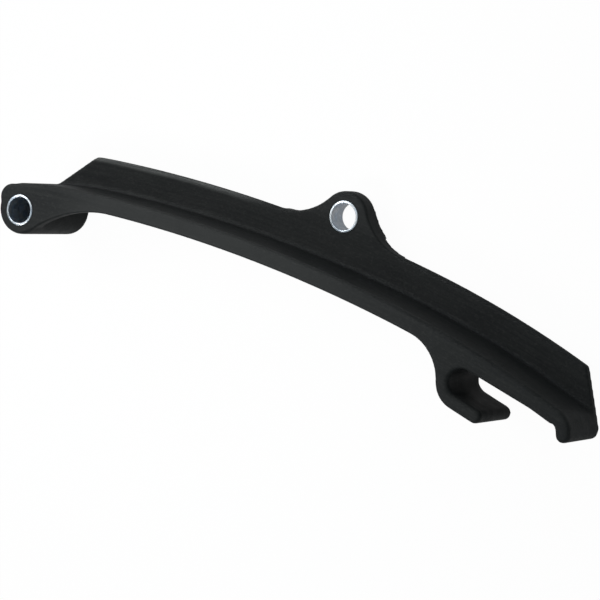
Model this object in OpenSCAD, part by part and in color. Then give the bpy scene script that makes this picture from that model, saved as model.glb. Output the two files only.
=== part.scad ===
// Timing chain guide: a moulded rail with two pressed-in bolt sleeves.
// X runs from the end bolt to the middle bolt, Y points to the chain side, Z points to the bolt heads.
// The origin is on the end bolt's axis, on the face that seats against the engine. Sizes are millimetres.

/* [Bolt points] */
// Distance between the two bolt axes
bolt_pitch = 108.4; // [104:0.1:113]
// Bore of both sleeves, for an 8 mm bolt
sleeve_bore = 8.5; // [8.2:0.1:9]
// Wall of both sleeves
sleeve_wall = 0.75; // [0.6:0.05:1]
// Chamfer on the edges of a sleeve's ends
sleeve_chamfer = 0.15; // [0.05:0.05:0.25]
// How far a sleeve stands out of the moulding at each end
sleeve_proud = 0.2; // [0.1:0.05:0.4]
// Play between a sleeve and its hole in the moulding
sleeve_play = 0.02; // [0.01:0.01:0.05]
// Outer radius of the end boss
end_boss_r = 8.3; // [7.4:0.1:9]
// How far the end boss's middle sits above its bolt, towards the chain
end_boss_rise = 0.5; // [0:0.05:1]
// Rounding of the end boss's front edge
end_boss_front_edge = 1.5; // [0.5:0.1:2]
// Rounding of the end boss's back edge
end_boss_back_edge = 0.7; // [0.4:0.1:1.5]
// Outer radius of the middle ear
ear_r = 8; // [7.2:0.1:9]
// Rounding of the middle ear's back edge
ear_back_edge = 1.5; // [0.5:0.1:2]
// Rounding of the middle ear's front edge
ear_front_edge = 0.6; // [0.3:0.1:1]
// Radius of the curves between the ear and the web's top edge
ear_fillet_r = 20; // [16:0.5:24]
// How far the pad behind the ear stands out of the web's back
ear_pad_h = 4.3; // [3:0.1:5]
// How far the pad's full height reaches below its bolt
ear_pad_drop = 6.5; // [4:0.5:8]
// Step at that end of the pad, and how far below its bolt the slope past the step runs out
ear_pad_step = 1.2; // [0.6:0.1:2]
ear_pad_run = 17; // [13:0.5:20]

/* [Rail section] */
// Width of the ledge that the chain runs on
ledge_w = 19.5; // [16:0.5:24]
// Thickness of the plate under the ledge
plate_t = 5.6; // [4.8:0.1:6]
// Thickness of the plate where the toe starts to curl
far_t = 5.1; // [4.8:0.1:5.4]
// Thickness of the web behind the ledge
web_t = 3; // [2.4:0.1:4]
// Height of the web above the ledge
web_h = 10.1; // [8:0.1:12]
// How far the end boss's seat stands behind the web
seat_h = 6.1; // [5:0.1:7.5]
// Rounding of the plate's two front edges
front_edge = 1.1; // [0.5:0.1:1.6]
// Rounding of the plate's lower back edge
back_edge = 0.6; // [0.3:0.1:1]
// Rounding of the web's top edges
web_edge = 0.9; // [0.4:0.1:1.1]
// Fillet between the ledge and the web
fold_fillet = 1; // [0.5:0.1:2]

/* [Rail curve] */
// Radius of the ledge over the end boss
lead_r = 129; // [110:1:150]
// Length of the ledge at that radius, past the end bolt
lead_len = 21.3; // [18:0.1:25]
// Radius of the rounded corner where the ledge starts, beside the end boss's crown
corner_r = 4.3; // [3.5:0.1:5]
// How far that corner lies inside the end boss's crown and side
corner_in = 0.25; // [0.2:0.05:0.4]
// Radius of the ledge's long middle stretch
main_r = 527; // [480:1:580]
// Length of the middle stretch
main_len = 119.6; // [110:0.1:130]
// Radius of the ledge's last stretch
end_r = 339; // [310:1:370]
// Length of the last stretch
end_len = 61.6; // [56:0.1:68]
// How far the ledge's top lies below the end boss's crown
boss_crown = 0.15; // [0.1:0.05:0.4]
// Where the web starts, measured along X from the end bolt
web_start = 1.4; // [0.6:0.1:4]
// Slope of the web's raked start
web_start_slope = 31; // [25:1:45]
// Lean of the web's far end from Y
web_end_rake = 10.8; // [6:0.2:14]

/* [Toe] */
// Radius of the ledge where it curls down at the toe
toe_r = 8; // [7:0.1:9.5]
// Thickness of the toe
toe_t = 4.6; // [3.6:0.1:4.8]
// Straight drop of the toe before its round tip
toe_drop = 0.8; // [0.2:0.1:2]
// Rounding of the toe's back edge
toe_edge = 1.8; // [0.9:0.1:1.8]

/* [Gusset and hook] */
// Radius of the gusset under the end boss
gusset_r = 43; // [36:1:46]
// Thickness of the gusset, behind the front face
gusset_t = 4; // [2.5:0.1:6]
// Distance along the last stretch of the ledge to the hook's slot
hook_run = 30.8; // [28:0.2:36]
// Radius of the slot that locates on a pin
slot_r = 4.2; // [3.8:0.1:4.6]
// Thickness that the hook adds under the plate, above the slot
slot_roof = 0.9; // [0.7:0.1:0.9]
// Flare of the slot's upper side
slot_flare = 1.2; // [1:0.1:1.3]
// Wall of the hook
hook_wall = 4.3; // [3.2:0.1:4.8]
// Length of the hook's lip past the slot's middle
lip_len = 10.6; // [8:0.1:12]
// Rounding of the lip's tip, seen from the front
lip_tip_r = 2.4; // [2.2:0.1:3.5]
// Rounding of the front edges round the slot
slot_edge = 1.3; // [0.5:0.1:1.6]
// Radius of the curve from the plate into the hook
hook_fillet_r = 15; // [11:0.2:17]
// Rounding of the front edges of the gusset and of that curve
curve_edge = 0.7; // [0.3:0.1:0.9]

/* [Hidden] */

// How far a curve runs into the shape that it blends with
blend_bite = 0.1;
// Steps in a rounded edge of a section, and in a larger curve of an outline
edge_steps = 5;
curve_steps = 14;
// Reach of a cut past the surface that it starts from, and of a hollow curve's solid past its radius
cut_over = 5;
curve_reach = 18;
// Fineness of the round parts
round_fn = 96;
// Least height of the web, and least turn between two stations of the rail
least_web = 0.3;
least_turn = 0.2;
// Lean of a normal where the ledge runs straight down, and how far round the toe's tip is closed
down = 90;
tip_close = 80;
// How many times faster than the turn the plate thins at the toe
toe_thinning = 4;
// Largest share of a thickness that one rounded edge takes
edge_share = 0.45;

plastic = [0.1, 0.1, 0.105];
zinc = [0.78, 0.81, 0.84];

// Levels along Z
back_z = seat_h;
ear_z = back_z - ear_pad_h;
web_z = back_z + web_t;
front_z = web_z + ledge_w;
// The hook's back lies just inside the plate's
hook_back_z = back_z + blend_bite;

// Sleeve sizes that the holes follow
sleeve_r = sleeve_bore/2 + sleeve_wall;
hole_r = sleeve_r + sleeve_play;

// The ledge is a chain of arcs, each tangent to the last, which starts level over the end boss
ledge_start = end_boss_rise + end_boss_r - boss_crown;
ARC_R = [lead_r, main_r, end_r, toe_r];
ARC_LEN = [lead_len, main_len, end_len];
LEAD = 0;
MAIN = 1;
END = 2;
TOE = 3;

// Point that lies r from c, in the direction that leans a degrees from +Y towards +X
function lean(c, r, a) = c + r*[sin(a), cos(a)];
// Lean of the ledge's normal where arc i starts
function lean_at(i) = i == 0 ? 0 : lean_at(i - 1) + turn(ARC_LEN[i - 1], ARC_R[i - 1]);
// Degrees that a length turns through at a radius
function turn(len, r) = len/r*180/PI;
// Centre of arc i
function centre(i) =
    i == 0 ? [0, ledge_start - lead_r]
           : lean(centre(i - 1), ARC_R[i - 1] - ARC_R[i], lean_at(i));
// Points of an arc about c
function arc(c, r, from, to, steps) =
    [for (k = [0:steps]) c + r*[cos(from + (to - from)*k/steps), sin(from + (to - from)*k/steps)]];
// Direction of v in degrees
function bearing(v) = atan2(v.y, v.x);
// Turn from one direction to another by the short way
function short_way(from, to) = (to - from + 540) % 360 - 180;
// Points of the arc about c from direction v to direction w, by the short way
function arc_between(c, r, v, w, steps) =
    arc(c, r, bearing(v), bearing(v) + short_way(bearing(v), bearing(w)), steps);
// Point that lies ra from a and rb from b, on the left of the way from a to b if side is 1, and on the right
// if it is -1
function meet(a, ra, b, rb, side) =
    let (d = norm(b - a), along = (d*d + ra*ra - rb*rb)/(2*d), e = (b - a)/d)
    a + along*e + side*sqrt(ra*ra - along*along)*[-e.y, e.x];

end_boss = [0, end_boss_rise];
ear = [bolt_pitch, 0];
toe = centre(TOE);
toe_lean = lean_at(TOE);
start_corner = end_boss + (end_boss_r - corner_in - corner_r)*[-1, 1];
web_lean = asin(web_start/lead_r);

// Hook: its frame has u along the rail and v along the rail's normal, with the slot's middle as origin
hook_lean = lean_at(END) + turn(hook_run, end_r);
roof_lean = hook_lean - turn(slot_r, end_r);
hook_r = slot_r + hook_wall;
slot_sink = plate_t + slot_roof + slot_r;
slot_middle = lean(centre(END), end_r - slot_sink, hook_lean);
rail_in_hook = [0, slot_sink - end_r];

// Height of a line above the point p of the ledge, along the normal n there
function line_height(p, n, start, along) = cross(start - p, along)/cross(n, along);
// Lean at which the line from start meets the circle of radius r about c
function lean_of_line(start, along, c, r) =
    let (f = start - c, s = sqrt(pow(f*along, 2) - f*f + r*r) - f*along, q = f + s*along)
    atan2(q.x, q.y);

// The web starts on a raked line from the ledge, and ends on one that leaves the toe's round
rake_start = lean(centre(LEAD), lead_r, web_lean);
rake_way = [cos(web_start_slope), sin(web_start_slope)];
far_start = toe + toe_r*[cos(web_end_rake), sin(web_end_rake)];
far_way = [-sin(web_end_rake), cos(web_end_rake)];
rake_top = lean_of_line(rake_start, rake_way, centre(LEAD), lead_r + web_h);
rake_lean = min(rake_top, lean_at(MAIN) - least_turn);
far_top = lean_of_line(far_start, far_way, centre(END), end_r + web_h);
far_lean = min(far_top, toe_lean - least_turn);

// Height of the web over the point p of the ledge, whose normal leans a degrees
function web_height(p, a) =
    let (n = [sin(a), cos(a)],
         near = line_height(p, n, rake_start, rake_way), far = line_height(p, n, far_start, far_way))
    max(least_web, min(web_h, near, far));

// Thickness down to the slot's straight upper side where the ledge's normal leans a degrees; it grows inside
// the hook's wall, before the slot's middle
function roof_at(a) =
    let (past = a - hook_lean)
    past < 0 ? plate_t + (slot_roof + blend_bite)*max(0, 1 + past*PI/180*end_r/slot_r)
             : end_r - (end_r - slot_sink + slot_r - blend_bite)/(cos(past) - sin(past)*tan(slot_flare));
// Thickness of the plate where the ledge's normal leans a degrees: it thins from the hook to the toe
function plate_at(a) =
    max(roof_at(a), plate_t - (plate_t - far_t)*max(0, min(1, (a - hook_lean)/(toe_lean - hook_lean))));

// Section of the rail, as [distance above the ledge, Z]: a plate from top down by t, and a web of height h
// whose top back edge is rounded by r
function section(top, t, h, r) =
    let (front = min(front_edge, edge_share*t), back = min(back_edge, edge_share*t),
         rear = min(r, edge_share*(t + h)), crest = min(web_edge, edge_share*h),
         fold = min(fold_fillet, h/2))
    concat(
        arc([top - front, front_z - front], front, 0, 90, edge_steps),
        arc([top - t + front, front_z - front], front, 90, 180, edge_steps),
        arc([top - t + back, back_z + back], back, 180, 270, edge_steps),
        arc([top + h - rear, back_z + rear], rear, -90, 0, edge_steps),
        arc([top + h - crest, web_z - crest], crest, 0, 90, edge_steps),
        arc([top + fold, web_z + fold], fold, 270, 180, edge_steps));

// The section set up across the ledge at the point p, whose normal leans a degrees
function station(p, a, top, t, h, r) =
    [for (q = section(top, t, h, r)) let (at = lean(p, q.x, a)) [at.x, at.y, q.y]];
// Stations along arc i, after the lean from and up to the lean to
function stations(i, from, to, steps) =
    [for (k = [1:steps])
        let (a = from + (to - from)*k/steps, p = lean(centre(i), ARC_R[i], a))
        station(p, a, 0, plate_at(a), web_height(p, a), web_edge)];
// Stations over the end boss, from just inside the ledge's start corner to the bolt
function lead_in_stations() =
    [for (p = [start_corner + [0, corner_r - blend_bite], [0, ledge_start]])
        station(p, 0, 0, plate_t, least_web, web_edge)];
// Stations round the toe, where the plate thins to the toe's thickness and its back edge gets rounder
function toe_stations(steps) =
    [for (k = [1:steps])
        let (a = toe_lean + (down - toe_lean)*k/steps, p = lean(toe, toe_r, a),
             t = max(toe_t, far_t - toe_thinning*(far_t - toe_t)*k/steps))
        station(p, a, 0, t, web_height(p, a), web_edge + (toe_edge - web_edge)*k/steps)];
// Stations down the straight end of the toe and round its tip
function tip_stations(steps) =
    let (tip_r = toe_t/2)
    [for (k = [0:steps])
        let (a = tip_close*k/steps, sunk = tip_r*(1 - cos(a)))
        station(toe + [toe_r, -toe_drop - tip_r*sin(a)], down, -sunk, toe_t - 2*sunk, least_web, toe_edge)];

// Triangles between the stations of a loft, with a flat face at each end
function loft_faces(count, ring) =
    concat(
        [[for (k = [0:ring - 1]) k]],
        [for (s = [0:count - 2], k = [0:ring - 1])
            let (a = s*ring + k, b = s*ring + (k + 1)%ring)
            each [[a, a + ring, b + ring], [a, b + ring, b]]],
        [[for (k = [ring - 1:-1:0]) (count - 1)*ring + k]]);

// Stands an outline between two levels
module slab(low, high) {
    translate([0, 0, low])
        linear_extrude(height = high - low)
            children();
}

// Plate and web in one loft, from the end boss along the ledge and round the toe to its tip
module rail() {
    rings = concat(
        lead_in_stations(),
        stations(LEAD, 0, web_lean, 1),
        stations(LEAD, web_lean, rake_lean, 3),
        stations(LEAD, rake_lean, lean_at(MAIN), 2),
        stations(MAIN, lean_at(MAIN), lean_at(END), 18),
        stations(END, lean_at(END), roof_lean, 4),
        stations(END, roof_lean, hook_lean, 1),
        stations(END, hook_lean, far_lean, 8),
        stations(END, far_lean, toe_lean, 2),
        toe_stations(10),
        tip_stations(5));
    polyhedron([for (ring = rings) each ring], loft_faces(len(rings), len(rings[0])), convexity = 8);
}

// Round boss between two levels, with rounded back and front edges
module boss(r, low, high, back, front) {
    rotate_extrude($fn = round_fn)
        polygon(concat(
            [[0, low]],
            arc([r - back, low + back], back, -90, 0, edge_steps),
            arc([r - front, high - front], front, 0, 90, edge_steps),
            [[0, high]]));
}

// Boss of the end bolt, full depth, with the rounded corner where the ledge starts
module end_bolt_boss() {
    translate(end_boss)
        boss(end_boss_r, sleeve_proud, front_z, end_boss_back_edge, end_boss_front_edge);
    translate(start_corner)
        boss(corner_r, back_z, front_z, back_edge, front_edge);
}

// Hollow curve of radius r about c, from the level low to the front face, with a rounded front edge;
// its outline is drawn from c
module hollow_curve(c, r, low) {
    intersection() {
        translate(c)
            rotate_extrude($fn = round_fn)
                polygon(concat(
                    [[r, low], [r + curve_reach, low], [r + curve_reach, front_z]],
                    arc([r + curve_edge, front_z - curve_edge], curve_edge, 90, 180, edge_steps)));
        slab(low, front_z) children();
    }
}

// Thin gusset that joins the end boss to the plate, behind the front face
module gusset() {
    under_r = main_r - plate_t;
    pole = centre(MAIN);
    middle = meet(end_boss, end_boss_r + gusset_r - blend_bite, pole, under_r - gusset_r + blend_bite, 1);
    foot = middle - pole;
    hollow_curve(middle, gusset_r, front_z - gusset_t)
        polygon([
            middle, end_boss, end_boss + [0, end_boss_r - plate_t/2],
            pole + foot/norm(foot)*(main_r - plate_t/2)]);
}

// Outline of the ear's neck, with its two hollow curves
module ear_neck() {
    top_r = main_r + web_h;
    pole = centre(MAIN);
    before = meet(ear, ear_r + ear_fillet_r - blend_bite, pole, top_r + ear_fillet_r - blend_bite, -1);
    after = meet(ear, ear_r + ear_fillet_r - blend_bite, pole, top_r + ear_fillet_r - blend_bite, 1);
    polygon(concat(
        arc_between(before, ear_fillet_r, pole - before, ear - before, curve_steps),
        arc_between(after, ear_fillet_r, ear - after, pole - after, curve_steps),
        [for (side = [after, before]) pole + (side - pole)/norm(side - pole)*(main_r + web_h/2)]));
}

// Pad behind the ear, seen along X: full height by the bolt, then a step and a slope out to the web's back
module ear_pad_side() {
    seat = ear_z + sleeve_proud;
    inside = back_z + web_t/2;
    polygon([
        [ear_r, seat], [ear_r, inside], [-ear_pad_run, inside], [-ear_pad_run, back_z],
        [-ear_pad_drop, seat + ear_pad_step], [-ear_pad_drop, seat]]);
}

// Ear of the middle bolt, on the web's top edge, with the pad behind it that seats on the engine
module mid_bolt_ear() {
    slab(back_z, web_z) ear_neck();
    intersection() {
        slab(ear_z, web_z) ear_neck();
        translate([ear.x - 4*ear_r, ear.y, 0])
            rotate([90, 0, 90])
                linear_extrude(height = 8*ear_r)
                    ear_pad_side();
    }
    translate(ear)
        boss(ear_r, ear_z + sleeve_proud, web_z, ear_back_edge, ear_front_edge);
}

// Section of the hook's wall, from the slot outwards
module hook_section() {
    polygon(concat(
        [[slot_r, hook_back_z], [hook_r, hook_back_z]],
        arc([hook_r - front_edge, front_z - front_edge], front_edge, 0, 90, edge_steps),
        arc([slot_r + slot_edge, front_z - slot_edge], slot_edge, 90, 180, edge_steps)));
}

// Straight arm of the hook: the wall's section drawn out along u
module hook_arm(length) {
    rotate([90, 0, 90])
        linear_extrude(height = length)
            children();
}

// Round of the lip's tip, with a rounded front edge
module lip_tip() {
    rotate_extrude($fn = round_fn)
        polygon(concat(
            [[0, back_z], [lip_tip_r, back_z]],
            arc([lip_tip_r - slot_edge, front_z - slot_edge], slot_edge, 0, 90, edge_steps),
            [[0, front_z]]));
}

// Fork hook under the plate: a round end and two arms about a slot that is open towards the toe
module hook() {
    middle = meet([0, 0], hook_r + hook_fillet_r - blend_bite,
        rail_in_hook, end_r - plate_t - hook_fillet_r + blend_bite, -1);
    foot = middle - rail_in_hook;
    lip_middle = [lip_len - lip_tip_r, -(slot_r + hook_r)/2];
    translate(slot_middle) rotate([0, 0, -hook_lean]) {
        rotate([0, 0, 90]) rotate_extrude(angle = 180, $fn = round_fn) hook_section();
        intersection() {
            hook_arm(lip_len) mirror([1, 0]) hook_section();
            union() {
                translate(lip_middle) lip_tip();
                translate([0, lip_middle.y - hook_wall, back_z])
                    cube([lip_middle.x, 2*hook_wall, front_z - back_z]);
            }
        }
        hollow_curve(middle, hook_fillet_r, hook_back_z + blend_bite)
            polygon(concat(
                [middle],
                arc_between([0, 0], slot_r + hook_wall/2, middle, [0, 1], curve_steps),
                [rail_in_hook + foot/norm(foot)*(end_r - plate_t/2)]));
    }
}

// Hole for a sleeve, right through the moulding
module sleeve_hole(at) {
    translate([at.x, at.y, -cut_over])
        cylinder(r = hole_r, h = front_z + 2*cut_over, $fn = round_fn);
}

// Steel tube with chamfered ends, from the seat to just past the moulding
module sleeve(length) {
    inner = sleeve_bore/2;
    c = sleeve_chamfer;
    rotate_extrude($fn = round_fn)
        polygon([
            [inner + c, 0], [sleeve_r - c, 0], [sleeve_r, c], [sleeve_r, length - c],
            [sleeve_r - c, length], [inner + c, length], [inner, length - c], [inner, c]]);
}

module guide_rail() {
    color(plastic)
        difference() {
            union() {
                rail();
                end_bolt_boss();
                gusset();
                mid_bolt_ear();
                hook();
            }
            sleeve_hole([0, 0]);
            sleeve_hole(ear);
        }
}

module end_sleeve() {
    color(zinc) sleeve(front_z + sleeve_proud);
}

module mid_sleeve() {
    color(zinc) translate([ear.x, ear.y, ear_z]) sleeve(web_z + sleeve_proud - ear_z);
}

guide_rail();
end_sleeve();
mid_sleeve();
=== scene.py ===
"""Timing chain guide: a black moulded rail and two zinc-plated bolt sleeves, dressed round its solids.

Lengths are millimetres in the part's frame, apart from finishes and the studio, which are in metres.
X runs from the end bolt to the middle bolt, Y points to the chain side and Z to the bolt heads.
Every mesh is written in metres.
"""

import logging
import math
from collections.abc import Callable, Sequence
from dataclasses import dataclass, field
from enum import Enum

import bmesh
import bpy
from mathutils import Matrix, Vector

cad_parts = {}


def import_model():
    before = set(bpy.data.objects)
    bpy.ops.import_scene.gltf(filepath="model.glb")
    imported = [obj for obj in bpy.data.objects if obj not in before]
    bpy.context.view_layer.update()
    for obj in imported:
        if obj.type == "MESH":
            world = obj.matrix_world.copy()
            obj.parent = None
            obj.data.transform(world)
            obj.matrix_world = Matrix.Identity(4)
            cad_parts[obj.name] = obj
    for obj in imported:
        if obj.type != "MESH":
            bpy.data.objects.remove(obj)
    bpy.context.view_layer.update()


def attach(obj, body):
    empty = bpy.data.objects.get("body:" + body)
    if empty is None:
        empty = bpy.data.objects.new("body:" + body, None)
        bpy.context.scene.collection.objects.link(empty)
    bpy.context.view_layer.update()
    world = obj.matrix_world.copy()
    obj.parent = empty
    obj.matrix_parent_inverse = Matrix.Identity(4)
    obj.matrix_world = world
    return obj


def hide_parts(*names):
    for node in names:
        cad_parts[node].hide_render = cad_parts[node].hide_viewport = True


LOG = logging.getLogger("chain_guide")
BODY = "root"
MM = 0.001

# How far a corner may be from the place where it is looked for, and from a curve that it is only near
NEAR = 0.02
LOOSE = 1.0
# Distance at which two corners are one, in metres
MERGE = 1e-7
# How far a cutter reaches past what it cuts, and the reach of a trimming block
OVERCUT = 5.0
TRIM_REACH = 60.0
# Flats round a cylinder, facets across a wide and a narrow rounded edge, and a round edge's profile
ROUND_SIDES = 128
EDGE_STEPS = 5
FINE_STEPS = 4
ROUND_PROFILE = 0.5
# Turns in degrees
QUARTER_TURN = 90.0
HALF_TURN = 180.0
# Power that takes a square root
ROOT = 0.5
# Range that most of a noise's values lie in
NOISE_RANGE = (0.3, 0.7)
# Places of the colour sockets on a mix node
MIX_SHARE, MIX_FIRST, MIX_SECOND, MIX_RESULT = 0, 6, 7, 2

Colour = tuple[float, float, float]
Limits = tuple[float, float]
Pair = tuple[float, float]
Place = tuple[float, float, float]
Socket = bpy.types.NodeSocket
Test = Callable[[Vector], bool]


class Pick(Enum):
    """What an edit-mode selection is made of."""

    CORNERS = "VERT"
    EDGES = "EDGE"
    FACES = "FACE"


class Join(Enum):
    """How one workpiece acts on another."""

    UNION = "UNION"
    CUT = "DIFFERENCE"
    COMMON = "INTERSECT"


class Side(Enum):
    """On which side of the way from one point to another a third one lies."""

    LEFT = 1
    RIGHT = -1


def lean(centre: Vector, radius: float, degrees: float) -> Vector:
    """Finds a point on a circle by its lean from +Y towards +X.

    Args:
        centre: Middle of the circle.
        radius: Distance from the middle.
        degrees: Lean of the point's direction from +Y.

    Returns:
        The point, at the middle's level.
    """
    angle = math.radians(degrees)
    return centre + radius * Vector((math.sin(angle), math.cos(angle), 0.0))


def lean_of(way: Vector) -> float:
    """Gives the lean of a direction from +Y towards +X, in degrees."""
    return math.degrees(math.atan2(way.x, way.y))


def arc_between(centre: Vector, radius: float, start: Vector, end: Vector, steps: int) -> list[Vector]:
    """Lists points of an arc from one direction to another, by the short way.

    Args:
        centre: Middle of the arc.
        radius: Radius of the arc.
        start: Direction of the first point.
        end: Direction of the last point.
        steps: Number of steps in the arc.

    Returns:
        The points, first and last included.
    """
    first = math.atan2(start.y, start.x)
    turn = (math.atan2(end.y, end.x) - first + 3 * math.pi) % (2 * math.pi) - math.pi
    angles = [first + turn * k / steps for k in range(steps + 1)]
    return [centre + radius * Vector((math.cos(a), math.sin(a), 0.0)) for a in angles]


def meet(a: Vector, reach_a: float, b: Vector, reach_b: float, side: Side) -> Vector:
    """Finds the point at given distances from two others.

    Args:
        a: First point.
        reach_a: Distance from the first point.
        b: Second point.
        reach_b: Distance from the second point.
        side: Side of the way from a to b on which the point lies.

    Returns:
        The point.
    """
    way = b - a
    gap = way.length
    way.normalize()
    along = (gap * gap + reach_a * reach_a - reach_b * reach_b) / (2 * gap)
    off = math.sqrt(reach_a * reach_a - along * along)
    return a + along * way + side.value * off * Vector((-way.y, way.x, 0.0))


class Workpiece:
    """One mesh on the bench, shaped with edit-mode operators and sized in millimetres."""

    def __init__(self, obj: bpy.types.Object) -> None:
        """Takes an object onto the bench."""
        self.obj = obj

    @staticmethod
    def clear_bench() -> None:
        """Leaves edit mode and deselects everything."""
        if bpy.context.object and bpy.context.object.mode != "OBJECT":
            bpy.ops.object.mode_set(mode="OBJECT")
        bpy.ops.object.select_all(action="DESELECT")

    @classmethod
    def outline(cls, name: str, corners: Sequence[Vector]) -> "Workpiece":
        """Lays out one flat face by moving the corners of a disc.

        Args:
            name: Name of the object.
            corners: Corners of the face, in order round it.

        Returns:
            The face as a workpiece.
        """
        cls.clear_bench()
        bpy.ops.mesh.primitive_circle_add(vertices=len(corners), radius=MM, fill_type="NGON")
        obj = bpy.context.object
        obj.name = name
        for vertex, corner in zip(obj.data.vertices, corners):
            vertex.co = corner * MM
        return cls(obj)

    @classmethod
    def section(cls, name: str, corners: Sequence[Pair], x: float = 0.0) -> "Workpiece":
        """Lays out one upright face from its Y and Z corners, at a place along X."""
        return cls.outline(name, [Vector((x, y, z)) for y, z in corners])

    @classmethod
    def slab(cls, name: str, corners: Sequence[Vector], low: float, high: float) -> "Workpiece":
        """Stands an outline between two levels.

        Args:
            name: Name of the object.
            corners: Corners of the outline, in order round it.
            low: Level of the lower face.
            high: Level of the upper face.

        Returns:
            The slab as a closed workpiece.
        """
        raised = [Vector((corner.x, corner.y, low)) for corner in corners]
        piece = cls.outline(name, raised).pick_all()
        return piece.extrude(Vector((0.0, 0.0, high - low))).closed()

    @classmethod
    def drum(cls, name: str, middle: Vector, radius: float, low: float, high: float) -> "Workpiece":
        """Stands an upright cylinder between two levels.

        Args:
            name: Name of the object.
            middle: Point on the axis.
            radius: Radius of the cylinder.
            low: Level of its lower end.
            high: Level of its upper end.

        Returns:
            The cylinder as a workpiece.
        """
        cls.clear_bench()
        bpy.ops.mesh.primitive_cylinder_add(
            vertices=ROUND_SIDES,
            radius=radius * MM,
            depth=(high - low) * MM,
            location=(middle.x * MM, middle.y * MM, (low + high) / 2 * MM),
        )
        bpy.ops.object.transform_apply(location=True, rotation=True, scale=True)
        bpy.context.object.name = name
        return cls(bpy.context.object)

    def choose(self) -> None:
        """Makes this the only selected object, out of edit mode."""
        self.clear_bench()
        bpy.context.view_layer.objects.active = self.obj
        self.obj.select_set(True)

    def open(self) -> None:
        """Makes this the only selected object and enters edit mode."""
        self.choose()
        bpy.ops.object.mode_set(mode="EDIT")

    def pick(self, kind: Pick, test: Test) -> "Workpiece":
        """Selects the elements all of whose corners pass a test.

        Args:
            kind: Corners, edges or faces.
            test: Takes a corner in millimetres.

        Returns:
            This workpiece, in edit mode.
        """
        self.open()
        bpy.ops.mesh.select_mode(type=kind.value)
        bpy.ops.mesh.select_all(action="DESELECT")
        mesh = bmesh.from_edit_mesh(self.obj.data)
        elements = {Pick.CORNERS: mesh.verts, Pick.EDGES: mesh.edges, Pick.FACES: mesh.faces}[kind]
        for element in elements:
            corners = [element] if kind is Pick.CORNERS else element.verts
            element.select_set(all(test(corner.co / MM) for corner in corners))
        mesh.select_flush_mode()
        bmesh.update_edit_mesh(self.obj.data)
        return self

    def pick_all(self) -> "Workpiece":
        """Selects every face."""
        return self.pick(Pick.FACES, lambda _: True)

    def bevel(self, width: float, steps: int, corners: bool = False) -> "Workpiece":
        """Rounds the selected edges, or the selected corners of a flat face.

        Args:
            width: Distance from the edge at which the rounding starts.
            steps: Number of facets across it.
            corners: True to round corners in place of edges.

        Returns:
            This workpiece, in edit mode.
        """
        bpy.ops.mesh.bevel(
            offset_type="OFFSET",
            offset=width * MM,
            segments=steps,
            profile=ROUND_PROFILE,
            affect="VERTICES" if corners else "EDGES",
        )
        return self

    def round_corners(self, test: Test, width: float, steps: int) -> "Workpiece":
        """Rounds the corners of a flat face that pass a test."""
        return self.pick(Pick.CORNERS, test).bevel(width, steps, corners=True)

    def round_edges(self, test: Test, width: float, steps: int) -> "Workpiece":
        """Rounds the edges whose corners pass a test."""
        return self.pick(Pick.EDGES, test).bevel(width, steps)

    def spin(self, centre: Vector, degrees: float, steps: int) -> "Workpiece":
        """Sweeps the selected face about an upright axis.

        Args:
            centre: Point on the axis.
            degrees: Turn of the sweep, positive from +Y towards +X.
            steps: Number of steps in it.

        Returns:
            This workpiece, in edit mode.
        """
        up = (0.0, 0.0, 1.0)
        bpy.ops.mesh.spin(steps=steps, angle=math.radians(degrees), center=centre * MM, axis=up)
        return self

    def extrude(self, way: Vector) -> "Workpiece":
        """Draws the selected face out along a vector."""
        bpy.ops.mesh.extrude_region_move(TRANSFORM_OT_translate={"value": way * MM})
        return self

    def closed(self) -> "Workpiece":
        """Merges doubles, turns the faces outwards and leaves edit mode.

        Returns:
            This workpiece, in object mode.
        """
        self.open()
        bpy.ops.mesh.select_all(action="SELECT")
        bpy.ops.mesh.remove_doubles(threshold=MERGE)
        bpy.ops.mesh.normals_make_consistent(inside=False)
        self.clear_bench()
        return self

    def move_corners(self, place: Callable[[Vector], Vector]) -> "Workpiece":
        """Moves every corner.

        Args:
            place: Gives a corner's new place from its old one, in millimetres.

        Returns:
            This workpiece, in object mode.
        """
        self.clear_bench()
        for vertex in self.obj.data.vertices:
            vertex.co = place(vertex.co / MM) * MM
        return self

    def modify(self, kind: str, **settings: object) -> "Workpiece":
        """Adds a modifier and applies it.

        Args:
            kind: Type of the modifier.
            **settings: Values of its properties.

        Returns:
            This workpiece, in object mode.
        """
        self.choose()
        modifier = self.obj.modifiers.new(kind.lower(), kind)
        for name, value in settings.items():
            setattr(modifier, name, value)
        bpy.ops.object.modifier_apply(modifier=modifier.name)
        return self

    def join(self, other: "Workpiece", how: Join) -> "Workpiece":
        """Adds, cuts or intersects with another workpiece.

        Args:
            other: The other workpiece, which is used up.
            how: What it does to this one.

        Returns:
            This workpiece, in object mode.
        """
        self.modify("BOOLEAN", object=other.obj, operation=how.value, solver="MANIFOLD")
        bpy.data.objects.remove(other.obj)
        return self

    def trim(self, point: Vector, outward: Vector) -> "Workpiece":
        """Cuts away all that lies on one side of an upright plane.

        Args:
            point: Point on the plane.
            outward: Level direction of the side that goes.

        Returns:
            This workpiece, in object mode.
        """
        along = Vector((-outward.y, outward.x, 0.0)) * TRIM_REACH
        out = outward * TRIM_REACH
        corners = [point - along, point - along + out, point + along + out, point + along]
        return self.join(Workpiece.slab("trim", corners, -TRIM_REACH, TRIM_REACH), Join.CUT)

    def rename(self, name: str) -> "Workpiece":
        """Names the object and its mesh."""
        self.obj.name = self.obj.data.name = name
        return self

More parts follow.
